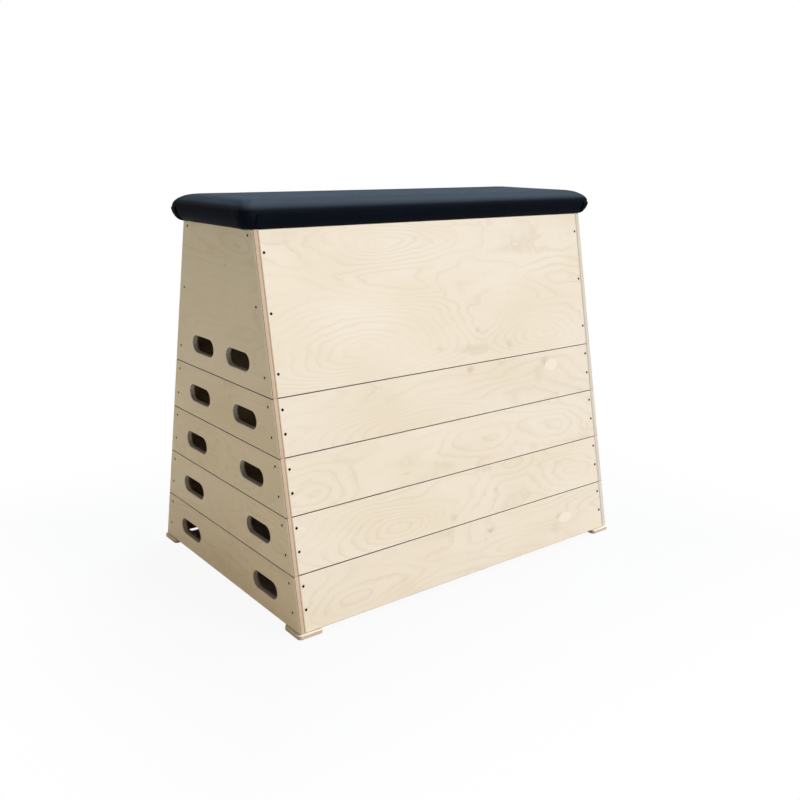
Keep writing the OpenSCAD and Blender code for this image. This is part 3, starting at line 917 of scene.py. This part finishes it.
CLEAT_WOOD = plain_wood("cleat_softwood", 0, (0.690, 0.515, 0.325), (0.470, 0.300, 0.165))
for word in ("front", "back"):
    refinish("pad_cleat_" + word, CLEAT_WOOD)

web = Web("bright_staple")
point, *_ = web.place()
dull = web.noise(point, 400.0, 2.0)
steel = web.mix(dull, (0.55, 0.56, 0.58), (0.75, 0.76, 0.78))
refinish("pad_staples", web.finish(steel, 0.22 + dull * 0.2, Metallic=1.0))
print("finished under the pad:", [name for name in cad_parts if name.startswith("pad_")])

# %% Screw the cleats to the board and to the long panels
CLEAT = 0.025
CLEAT_HALF = INNER_X - POST_W - 0.003
CLEAT_SCREWS = 4
cleat_seats = []
z = PAD_Z - CLEAT / 2
for side in (-1, 1):
    for k in range(1, CLEAT_SCREWS + 1):
        x = (2 * k / (CLEAT_SCREWS + 1) - 1) * CLEAT_HALF
        below = Vector((x, side * (inner_y(z) - CLEAT / 2), PAD_Z - CLEAT))
        beside = Vector((x + 0.020, side * (inner_y(z) - CLEAT), z))
        cleat_seats += [facing(below, ALONG, UP), facing(beside, ALONG, -into_long(side))]
set_screws("cleat_screws", cleat_seats, "top_section", 0.036)

# %% [markdown]
# ## The pad
# The top is padded with foam and covered in dark vinyl that is pulled down and stapled under the
# board. Its section is a quarter ellipse below the belly and a wider one above, and it is nearly
# flat on top. A softened box would do from far away, but it lacks the swell of foam under a
# stretched cover. So the base is a rounded rectangle repeated at sixteen heights and joined ring
# by ring. It starts a little small, because a cloth simulation then blows it up against the
# stretch of the vinyl, as the foam presses on the real cover.

# %% The pad's base, ring by ring
PAD_X, PAD_Y, PAD_H = 0.640, 0.208, 0.0725
BELLY, CROWN = 0.038, 0.033
BELLY_Z = PAD_Z + BELLY
PLATEAU_Z = BELLY_Z + CROWN
CORNER_R = 0.026
LOWER_ROWS, UPPER_ROWS = 5, 10


def pad_section(shrink):
    """Half lengths, half widths, corner radii and heights from the underside up to the plateau."""
    rows = []
    for k in range(LOWER_ROWS + 1):
        a = math.pi / 2 * (1 - k / LOWER_ROWS)
        tuck = 1 - math.cos(a)
        z = BELLY_Z - (BELLY - shrink) * math.sin(a)
        rows.append((0.025 * tuck, 0.020 * tuck, CORNER_R + 0.012 * tuck, z))
    for k in range(1, UPPER_ROWS + 1):
        a = math.pi / 2 * k / UPPER_ROWS
        tuck = (1 - math.cos(a)) ** 1.15
        z = BELLY_Z + (CROWN - shrink) * math.sin(a)
        rows.append((0.060 * tuck, 0.066 * tuck, CORNER_R - 0.017 * tuck, z))
    return [(PAD_X - shrink - x, PAD_Y - shrink - y, r, z) for x, y, r, z in rows]


def pad_base(shrink):
    """The pad's closed base, shrunk all round."""
    bm = bmesh.new()
    rings = []
    spin = Matrix.Rotation(math.pi / 32, 4, "Z")
    for hx, hy, r, z in pad_section(shrink):
        made = bmesh.ops.create_circle(bm, segments=32, radius=r, matrix=spin)["verts"]
        rings.append(list({edge for vert in made for edge in vert.link_edges}))
        for vert in made:
            vert.co += Vector((math.copysign(hx - r, vert.co.x), math.copysign(hy - r, vert.co.y), z))
    bridge(bm, rings)
    for ring in (rings[0], rings[-1]):
        bmesh.ops.contextual_create(bm, geom=ring)
    face_out(bm)
    return bm


# %% An even mesh for the cloth
SHRINK = 0.0015
VOXEL = 0.007


def copy_applied(piece, name):
    """A new object with the piece's modifiers in its mesh."""
    seen = piece.evaluated_get(bpy.context.evaluated_depsgraph_get())
    made = bpy.data.objects.new(name, bpy.data.meshes.new_from_object(seen))
    bpy.context.scene.collection.objects.link(made)
    bpy.data.objects.remove(piece)
    return made


def points_of(piece):
    """The places and normals of a piece's points."""
    points = piece.data.vertices
    return np.array([v.co for v in points]), np.array([v.normal for v in points])


def move_points(piece, places):
    piece.data.vertices.foreach_set("co", places.ravel())
    piece.data.update()


blank = new_object("pad_blank", pad_base(SHRINK))
remesh = blank.modifiers.new("even_mesh", "REMESH")
remesh.mode = "VOXEL"
remesh.voxel_size = VOXEL
pad = copy_applied(blank, "pad_blank_even")
print("pad starts with", len(pad.data.vertices), "points")

# %% Fill the pad with a cloth simulation
FRAMES = 20
PRESSURE = 4.0
rest, rest_normals = points_of(pad)
held = pad.vertex_groups.new(name="held")
held.add([i for i, p in enumerate(rest) if p[2] < PAD_Z + SHRINK + 0.004], 1.0, "REPLACE")
cloth = pad.modifiers.new("filling", "CLOTH")
cloth.settings.use_pressure = True
cloth.settings.uniform_pressure_force = PRESSURE
cloth.settings.effector_weights.gravity = 0.0
cloth.settings.vertex_group_mass = "held"
cloth.settings.quality = 4
cloth.collision_settings.use_collision = False
scene = bpy.context.scene
scene.frame_start, scene.frame_end = 1, FRAMES
for step in range(1, FRAMES + 1):
    scene.frame_set(step)
pad = copy_applied(pad, "pad_blown")
scene.frame_set(1)
move = points_of(pad)[0] - rest
length = np.linalg.norm(move, axis=1)
print("the filling moves the pad by up to", round(float(length.max()) * 1000, 1), "mm")

# %% Cap the swell and fit the pad to its size
SWELL_CAP, SINK_CAP = 0.0045, 0.001
move *= np.where(length > SWELL_CAP, SWELL_CAP / np.maximum(length, 1e-9), 1.0)[:, None]
sunk = np.minimum((move * rest_normals).sum(1) + SINK_CAP, 0.0)
shaped = rest + move - rest_normals * sunk[:, None]
for axis, reach in ((0, PAD_X), (1, PAD_Y)):
    shaped[:, axis] *= (reach - 0.0002) / np.abs(shaped[:, axis]).max()
shaped[:, 2] = PAD_Z + (shaped[:, 2] - shaped[:, 2].min()) * PAD_H / np.ptp(shaped[:, 2])
move_points(pad, shaped)
finer = pad.modifiers.new("finer", "SUBSURF")
finer.levels = finer.render_levels = 1
pad = copy_applied(pad, "pad_fine")
print("pad box after filling:", shaped.min(0).round(4), shaped.max(0).round(4))

# %% [markdown]
# ## Folds and a crease
# A flat sheet can't turn round a corner without spare cloth. The upholsterer folds it into two
# short pleats beside each corner and staples the tongue between them over the sides, so the
# tongue stands a little proud and hangs a little lower. Along both long sides the vinyl also
# keeps a faint crease where the foam's flat top turns into the roll. Folds could be sculpted by
# hand, or left to a bump that never shows in an outline. Here a few bell curves say how far each
# point moves. They come last, because a remesh would smooth away anything as fine as a fold.


# %% Places along the pad's rim
def from_corner(x, y):
    """How far a point lies round the rim from the nearest corner's diagonal; long sides count up."""
    dx, dy = np.abs(x) - (PAD_X - CORNER_R), np.abs(y) - (PAD_Y - CORNER_R)
    turn = np.arctan2(np.maximum(dy, 1e-6), np.maximum(dx, 1e-6)) - math.pi / 4
    arc = CORNER_R * math.pi / 4
    return np.where(dx <= 0, arc - dx, np.where(dy <= 0, -(arc - dy), CORNER_R * turn))


def ease(value, low, high):
    """0 below low and 1 above high, with a smooth rise between them."""
    t = np.clip((value - low) / (high - low), 0.0, 1.0)
    return t * t * (3 - 2 * t)


def bell(distance, width):
    """1 where the distance is 0, and a bell curve round it."""
    return np.exp(-((distance / width) ** 2))


PLEATS = (-0.0384, 0.0304)
PLEAT_TOP = PAD_Z + 0.036
CREASE_Y, CREASE_Z = 0.1745, PAD_Z + 0.066
print("pleats from the corner's diagonal:", [p * 1000 for p in PLEATS], "mm")

# %% A finer mesh where the pleats go
PLEAT_REACH = 0.048
bm = bmesh.new()
bm.from_mesh(pad.data)
bm.normal_update()
near = []
for face in bm.faces:
    middle = face.calc_center_median()
    run = float(from_corner(np.array([middle.x]), np.array([middle.y]))[0])
    beside = abs(run) < PLEAT_REACH and middle.z < BELLY_Z + 0.010
    if beside and math.hypot(face.normal.x, face.normal.y) > 0.2:
        near.append(face)
edges = list({e for f in near for e in f.edges})
bmesh.ops.subdivide_edges(bm, edges=edges, cuts=3, use_grid_fill=True)
print("pleats are cut into", len(near), "faces")

# %% Cut the opening under the board
OPENING_X, OPENING_Y = 0.5436, 0.1286
OPENING_DEEP = 0.003


def underside():
    return [f for f in bm.faces if f.calc_center_median().z < PAD_Z + 0.004]


for half, axis in ((OPENING_X, ALONG), (OPENING_Y, ACROSS)):
    for normal in (-axis, axis):
        under = underside()
        cut = set(under) | {e for f in under for e in f.edges} | {v for f in under for v in f.verts}
        bmesh.ops.bisect_plane(bm, geom=list(cut), dist=1e-5, plane_co=normal * half, plane_no=normal)
middles = [(f, f.calc_center_median()) for f in underside()]
inside = [f for f, at in middles if abs(at.x) < OPENING_X and abs(at.y) < OPENING_Y]
raised = bmesh.ops.extrude_face_region(bm, geom=inside)["geom"]
bmesh.ops.delete(bm, geom=inside, context="FACES")
for vert in (v for v in raised if isinstance(v, bmesh.types.BMVert)):
    vert.co.z = PAD_Z + OPENING_DEEP
bm.to_mesh(pad.data)
bm.free()
print("pad has", len(pad.data.polygons), "faces")

# %% How strong each fold is at each point
flat, normals = points_of(pad)
x, y, z = flat.T
steepness = np.linalg.norm(normals[:, :2], axis=1)
on_side = ease(steepness, 0.25, 0.6)
run = from_corner(x, y)
below = 1 - ease(z, PLEAT_TOP - 0.004, PLEAT_TOP + 0.003)
tongue = ease(run, PLEATS[0] - 0.0006, PLEATS[0] + 0.0008)
tongue *= 1 - ease(run, PLEATS[1] - 0.0008, PLEATS[1] + 0.0006)
grooves = sum(bell(run - p - 0.0012 * np.sign(p), 0.0014) for p in PLEATS)
shoulder = sum(bell(run - p, 0.009) for p in PLEATS) * bell(z - PLEAT_TOP - 0.004, 0.006)
outside_wood = np.maximum(np.abs(x) - END_X, np.abs(y) - half_width(PAD_Z))
hanging = tongue * (1 - ease(z, PAD_Z + 0.004, PAD_Z + 0.016)) * ease(outside_wood, 0.002, 0.008)
crease = bell(z - CREASE_Z, 0.0026) * (1 - ease(np.abs(x), 0.54, 0.60))
crease *= ease(np.abs(y), CREASE_Y - 0.020, CREASE_Y - 0.010)
print("points on a tongue:", int((tongue * below > 0.5).sum()))

# %% Move the points into folds
TONGUE_OUT, GROOVE_IN, SHOULDER_OUT, HANG, CREASE_IN = 0.0030, 0.0044, 0.0010, 0.0026, 0.0013
out = on_side * (TONGUE_OUT * tongue * below - GROOVE_IN * grooves * below + SHOULDER_OUT * shoulder)
moved = flat.copy()
moved[:, :2] += (normals[:, :2] / np.maximum(steepness, 1e-6)[:, None]) * out[:, None]
moved[:, 2] -= HANG * hanging
moved -= normals * (CREASE_IN * crease)[:, None]
move_points(pad, moved)
print("folds moved the vinyl by up to", round(float(np.linalg.norm(moved - flat, axis=1).max()) * 1000, 1), "mm")

# %% [markdown]
# ## Vinyl
# The cover is a smooth coated cloth with a fine leather grain. It is nearly black on its sides,
# while its top and upper roll are painted blue-grey as a painted reflection, and worn matt by feet
# and hands. A picture of leather would need an unwrapped mesh, and a fold would stretch it. So the
# grain is the cell borders of Voronoi noise with finer noise on them, and a soft sheen stands for the coating.

# %% Finish the pad
web = Web("dark_vinyl")
point, _, _, z = web.place()
cells = web.node("ShaderNodeTexVoronoi", {"feature": "DISTANCE_TO_EDGE"}, {"Vector": point, "Scale": 620.0})
fine = web.noise(point, 1500.0, 2.0)
cloud = web.noise(point, 9.0, 2.0)
# Painted reflection: the top and upper roll are painted a lighter blue-grey, and made rougher where they are
# worn matt.
worn_top_and_painted_reflection = z.clip(PLATEAU_Z - 0.028, PLATEAU_Z - 0.006) * (0.8 + cloud * 0.4)
colour = web.mix(cloud, (0.0032, 0.0050, 0.0080), (0.0050, 0.0070, 0.0110))
colour = web.mix(worn_top_and_painted_reflection, colour, (0.055, 0.067, 0.086))
gloss = 0.40 + cloud * 0.08 + worn_top_and_painted_reflection * 0.24
leather = cells.clip(0.0, 0.25) + fine * 0.4
coating = {"Sheen Weight": 0.12, "Sheen Roughness": 0.15, "Sheen Tint": (0.4, 0.7, 1.0)}
vinyl = web.finish(colour, gloss, leather, 0.0001, 0.35, specular=0.008, **coating)

pad.name = pad.data.name = "padded_top_cover"
pad.data.materials.clear()
pad.data.materials.append(vinyl)
for polygon in pad.data.polygons:
    polygon.use_smooth = True
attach(pad, "top_section")
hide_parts("pad_cover", "pad_foam")
print(pad.name, "is finished in", vinyl.name)

# %% [markdown]
# ## The studio
# The box stands on a plain white floor that runs into a white background. Strong lamps could
# bleach a grey floor, but they would bleach the birch as well. So the floor looks white by
# itself, to the camera and in mirrors only, except under the box, where it is plain and matt. Two
# broad suns from the front and the right light the long side and draw the bright line along the
# rolled edge of the vinyl, whose upper roll is also painted lighter. A low warm lamp at the left
# lifts the end, which stays in shade.


# %% A floor that looks white
def plain_rays(web):
    """1 for the rays that look, mirror or pass through, and 0 for those that only carry light."""
    kinds = ("Camera", "Glossy", "Transmission")
    rays = [web.node("ShaderNodeLightPath", output=f"Is {kind} Ray") for kind in kinds]
    return (rays[0] + rays[1] + rays[2]).math("MINIMUM", 1.0)


bm = bmesh.new()
bmesh.ops.create_grid(bm, x_segments=1, y_segments=1, size=30)
floor = new_object("studio_floor", bm)

web = Web("white_floor")
_, x, y, _ = web.place()
away = (abs(x) - 0.60).math("MAXIMUM", abs(y - 0.01) - HALF_W)
white = away.clip(-0.022, -0.012) * away.clip(0.0, 0.9, 0.93, 1.0)
matt = web.node("ShaderNodeBsdfDiffuse", inputs={"Color": (0.50, 0.50, 0.50)})
lit = web.node("ShaderNodeEmission", inputs={"Color": (1.0, 1.0, 1.0), "Strength": 1.0})
both = web.node("ShaderNodeMixShader", inputs=[plain_rays(web) * white, matt, lit])
web.node("ShaderNodeOutputMaterial", inputs=[both])
floor.data.materials.append(web.owner)
print("floor:", floor.name)

# %% The world
web = Web("studio", bpy.data.worlds)
light = web.node("ShaderNodeBackground", inputs=[(1.0, 0.95, 0.86), 0.13])
shown = web.node("ShaderNodeBackground", inputs=[(1.0, 1.0, 1.0), 1.0])
both = web.node("ShaderNodeMixShader", inputs=[plain_rays(web), light, shown])
web.node("ShaderNodeOutputWorld", inputs=[both])
bpy.context.scene.world = web.owner
bpy.context.scene.view_settings.view_transform = "Standard"
print("world:", web.owner.name)


# %% Lamps
def lamp(kind, name, place, target, power, colour, spread, size=None):
    """A sun or an area lamp that looks at its target; spread is in degrees."""
    made = bpy.data.lights.new(name, kind)
    made.energy, made.color = power, colour
    if kind == "AREA":
        made.shape, made.size, made.size_y, made.spread = "RECTANGLE", *size, math.radians(spread)
    else:
        made.angle = math.radians(spread)
    holder = bpy.data.objects.new(name, made)
    holder.location = place
    holder.rotation_euler = (Vector(target) - Vector(place)).to_track_quat("-Z", "Y").to_euler()
    holder.visible_camera = False
    bpy.context.scene.collection.objects.link(holder)
    print(name, "shines with", power)


lamp("SUN", "key_front_right", (2.5, -3.7, 2.25), (0, 0, 0), 2.62, (1.0, 0.985, 0.97), 26)
lamp("SUN", "high_right", (3.1, 1.0, 3.8), (0, 0, 0), 3.0, (0.66, 0.86, 1.0), 34)
lamp("AREA", "fill_left", (-2.6, 0.0, 0.15), (0, 0, 0.3), 3.3, (1.0, 0.86, 0.60), 90, (2.4, 0.5))
